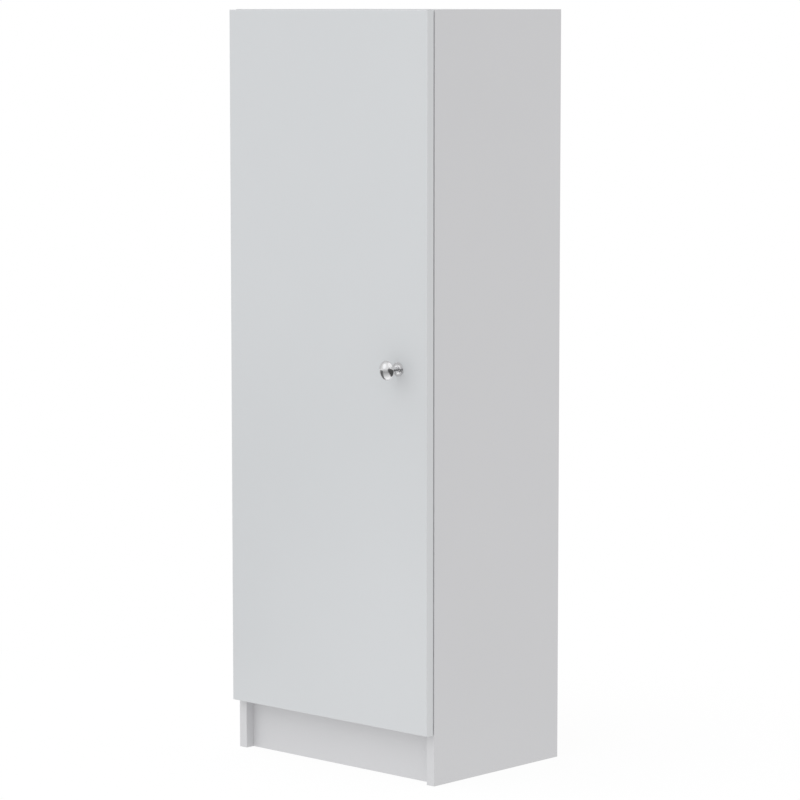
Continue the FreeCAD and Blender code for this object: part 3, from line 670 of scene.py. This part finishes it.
for node, name in (("hinge_cup_screws", "cupScrews"), ("hinge_plate_screws", "plateScrews"),
                   ("hinge_arm_screws", "armScrews"), ("catch_screws", "catchScrews"),
                   ("strike_screws", "strikeScrews"), ("wall_bracket_screws", "bracketScrews"),
                   ("knob_screw", "knobScrew")):
    shapes = [screwShape(*screwFrom(corners)) for corners in solidsOf(node)]
    screws = makePiece(name, shapes, screwZinc, bodyOf[node], screw["sharpAngle"])
    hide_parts(node)
print("screws made")


# Pressed, cast and moulded fittings with their edges broken

softEdge = {
    "pressed": 0.18 * mm,
    "cast": 0.22 * mm,         # also moulded
    "segments": 2,
    "sharpFrom": 34.0,         # edges sharper than this angle are broken
    "flatBelow": 0.3,          # triangles closer to flat than this angle become one face
}


def soften(node, name, kind, finish):
    # A merged copy of the piece, with its flat faces whole and its sharp edges bevelled.
    mesh = frame["nodes"][node].data.copy()
    mesh.name = name
    work = bmesh.new()
    work.from_mesh(mesh)
    bmesh.ops.remove_doubles(work, verts=work.verts, dist=touching)
    bmesh.ops.dissolve_limit(work, angle_limit=math.radians(softEdge["flatBelow"]), verts=work.verts,
                             edges=work.edges)
    work.to_mesh(mesh)
    work.free()
    mesh.shade_smooth()
    mesh.set_sharp_from_angle(angle=math.radians(softEdge["sharpFrom"]))
    mesh.materials.clear()
    mesh.materials.append(finish)
    piece = bpy.data.objects.new(name, mesh)
    bpy.context.scene.collection.objects.link(piece)
    bevel = piece.modifiers.new("softEdges", "BEVEL")
    bevel.width = softEdge[kind]
    bevel.segments = softEdge["segments"]
    bevel.limit_method = "ANGLE"
    bevel.angle_limit = math.radians(softEdge["sharpFrom"])
    bevel.harden_normals = True
    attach(piece, bodyOf[node])
    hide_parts(node)


for number in (1, 2, 3):
    for part in ("Cup", "Pivot", "Arm", "Plate"):
        node = "hinge_%d_%s" % (number, part.lower())
        soften(node, "hinge%d%s" % (number, part), "pressed", nickel)
for node, name, kind, finish, slot in (("cam_locks", "camLocks", "cast", castZinc, "zinc"),
                                       ("shelf_pins", "shelfPins", "cast", nickel, "screw_steel"),
                                       ("catch_body", "catchBody", "cast", catchPlastic, "white_plastic"),
                                       ("catch_strike", "catchStrike", "pressed", nickel, "screw_steel"),
                                       ("door_stops", "doorStops", "cast", stopRubber, "rubber"),
                                       ("wall_bracket", "wallBracket", "cast", galvanised, "screw_steel")):
    soften(node, name, kind, finish)
print("fittings made")


# Studio

studio = {
    "floorSize": 30.0,
    "floorColour": (1.0, 1.0, 1.0),
    "floorWhite": 0.93,          # share of plain white that the camera sees in the floor by the cupboard
    "floorFade": (0.7, 1.6),     # distances over which the rest of the floor turns plain white
    "worldLevel": 0.84,
    "frontAzimuth": -30.0,       # metal sees plain white this way, and a dimmer room to the sides and behind
    "frontReach": (24.0, 40.0),  # angles from there over which the room dims
    "roomLevel": 0.74,
    "lampColour": (0.97, 1.0, 1.03),
    "cardReach": 1.2,            # distance from the knob to the cards, less where the floor is in the way
    "cardLift": 0.02,            # lowest place of a card above the floor
    "leastDrop": 0.01,           # least sine of the way down, for corners level with the knob or above it
}
lamps = {  # azimuth from the front towards the right, height, disc angle, irradiance over pi, seen in gloss
    "highLamp": (-40.0, 57.0, 70.0, 0.25, False),
    "leftLamp": (-46.0, 8.0, 18.0, 0.008, True),
    "frontLamp": (-15.0, 20.0, 18.0, 0.008, True),
}
cards = {  # sheets that only metal sees: their level, and their corners by azimuth and height from the knob
    "frontCard": (0.09, [(-27, -2), (-20, 4), (-7, 5), (4, 2.5), (20, -1), (45, -1), (78, 2), (78, -38),
                         (45, -48), (25, -52), (12, -46), (-6, -30), (-18, -14), (-27, -7)]),
    "windowCard": (1.2, [(-25, 11), (14, 20), (32, 34), (40, 60), (-10, 60), (-22, 46), (-27, 32)]),
    "hazeCard": (0.6, [(-50, -4), (-27, -1.5), (-27, -7.5), (-50, -7.5)]),
    "horizonCard": (0.46, [(-52, -7.5), (-25, -7.5), (-20, -12), (-52, -12)]),
    "nearCard": (0.62, [(-52, -12), (-20, -12), (-15, -17), (-52, -17)]),
    "paleCard": (0.82, [(-53, -17), (-15, -17), (-10, -22), (-53, -22)]),
    "sideCard": (0.16, [(-51, -5.5), (-50, -16), (-53, -20), (-57, -27), (-60, -35), (-68, -44), (-86, -44),
                        (-80, -20), (-74, -5.5)]),
    "floorCard": (1.25, [(-50, -28), (-46, -56), (-18, -56), (-14, -32)]),
}


def addStage(name, corners, material, hiddenFrom):
    # One flat sheet, which the named kinds of rays pass.
    mesh = bpy.data.meshes.new(name)
    mesh.from_pydata(corners, [], [list(range(len(corners)))])
    mesh.materials.append(material)
    sheet = bpy.data.objects.new(name, mesh)
    bpy.context.scene.collection.objects.link(sheet)
    for rays in hiddenFrom:
        setattr(sheet, "visible_" + rays, False)


def rayKinds(signal):
    # Masks that are 1 for rays from the camera, from gloss and through glass.
    return [signal.node("ShaderNodeLightPath", output=name) for name in
            ("Is Camera Ray", "Is Glossy Ray", "Is Transmission Ray")]


def makeFloor():
    # The camera sees near-white paint that keeps the shadow, and plain white further away. Diffuse
    # rays pass the floor and meet the world, so the light is as even below as above.
    material, coords = startFinish("studioFloorPaint")
    tree = material.node_tree
    away = coords.node("ShaderNodeVectorMath", {"operation": "LENGTH"}, {0: coords}, "Value")
    near, far = studio["floorFade"]
    plain = coords.node("ShaderNodeMapRange", {"interpolation_type": "SMOOTHSTEP"},
                        {"Value": away, "From Min": near, "From Max": far,
                         "To Min": studio["floorWhite"], "To Max": 1.0})
    fromCamera, fromGloss, through = rayKinds(coords)
    seen = fromCamera * plain + fromGloss + through
    white = coords.node("ShaderNodeEmission", None, {"Color": (1, 1, 1, 1), "Strength": 1.0})
    endFinish(material, Base_Color=rgba(studio["floorColour"]), Roughness=1.0, Specular_IOR_Level=0.0)
    painted = Signal(tree, tree.nodes["Principled BSDF"].outputs[0])
    mixed = coords.node("ShaderNodeMixShader", None, {0: seen, 1: painted, 2: white})
    tree.links.new(mixed.socket, tree.nodes["Material Output"].inputs["Surface"])
    half = studio["floorSize"] / 2
    corners = [(-half, -half, 0), (half, -half, 0), (half, half, 0), (-half, half, 0)]
    addStage("studioFloor", corners, material, ("diffuse", "shadow"))


def makeCards():
    # A corner lies on its ray from the knob, at the cards' reach or just above the floor.
    for name, (level, corners) in cards.items():
        material = startFinish(name + "Glow")[0]
        endFinish(material, Base_Color=(0, 0, 0, 1), Specular_IOR_Level=0.0, Emission_Color=(1, 1, 1, 1),
                  Emission_Strength=level)
        azimuth, height = np.radians(np.array(corners, float)).T
        drop = np.maximum(np.sin(-height), studio["leastDrop"])
        reach = np.minimum(studio["cardReach"], (knobCentre[2] - studio["cardLift"]) / drop)
        outward = np.cos(height)
        ways = np.stack([np.sin(azimuth) * outward, -np.cos(azimuth) * outward, np.sin(height)], 1)
        addStage(name, (knobCentre + ways * reach[:, None]).tolist(), material,
                 ("camera", "diffuse", "transmission", "shadow"))


def makeWorld():
    # Plain white to the camera, an even level to diffuse rays, and white in front of a dimmer room to gloss.
    world = bpy.data.worlds.new("studioWorld")
    bpy.context.scene.world = world
    world.use_nodes = True
    tree = world.node_tree
    way = Signal(tree).node("ShaderNodeTexCoord", output="Generated")
    azimuth = math.radians(studio["frontAzimuth"])
    facing = way.node("ShaderNodeVectorMath", {"operation": "DOT_PRODUCT"},
                      {0: way, 1: (math.sin(azimuth), -math.cos(azimuth), 0.0)}, "Value")
    near, far = [math.cos(math.radians(angle)) for angle in studio["frontReach"]]
    inFront = facing.node("ShaderNodeMapRange", {"interpolation_type": "SMOOTHSTEP"},
                          {"Value": facing, "From Min": far, "From Max": near,
                           "To Min": studio["roomLevel"], "To Max": 1.0})
    fromCamera, fromGloss, through = rayKinds(way)
    even = studio["worldLevel"]
    level = even + (fromCamera + through) * (1 - even) + fromGloss * (inFront - even)
    background = tree.nodes["Background"]
    background.inputs["Color"].default_value = (1, 1, 1, 1)
    tree.links.new(level.socket, background.inputs["Strength"])


def makeLamps():
    # Sun lamps that shine on the cupboard from their azimuth and height.
    for name, (azimuth, height, disc, level, inGloss) in lamps.items():
        light = bpy.data.lights.new(name, "SUN")
        light.energy = level * math.pi
        light.angle = math.radians(disc)
        light.color = studio["lampColour"]
        lamp = bpy.data.objects.new(name, light)
        lamp.rotation_euler = (math.radians(90 - height), 0, math.radians(azimuth))
        lamp.visible_glossy = inGloss
        bpy.context.scene.collection.objects.link(lamp)


camera = {
    "place": (5.25488, -5.59281, 1.68668),
    "azimuth": 43.0101,
    "pitch": 6.5655,
    "lens": 155.787,
    "clipEnd": 100.0,
}


def makeCamera():
    lens = bpy.data.cameras.new("frontCamera")
    lens.lens = camera["lens"]
    lens.clip_end = camera["clipEnd"]
    eye = bpy.data.objects.new("frontCamera", lens)
    eye.location = camera["place"]
    eye.rotation_euler = (math.radians(90 - camera["pitch"]), 0, math.radians(camera["azimuth"]))
    bpy.context.scene.collection.objects.link(eye)
    bpy.context.scene.camera = eye


bpy.context.scene.view_settings.view_transform = "Standard"
makeFloor()
makeCards()
makeWorld()
makeLamps()
makeCamera()
print("studio made")
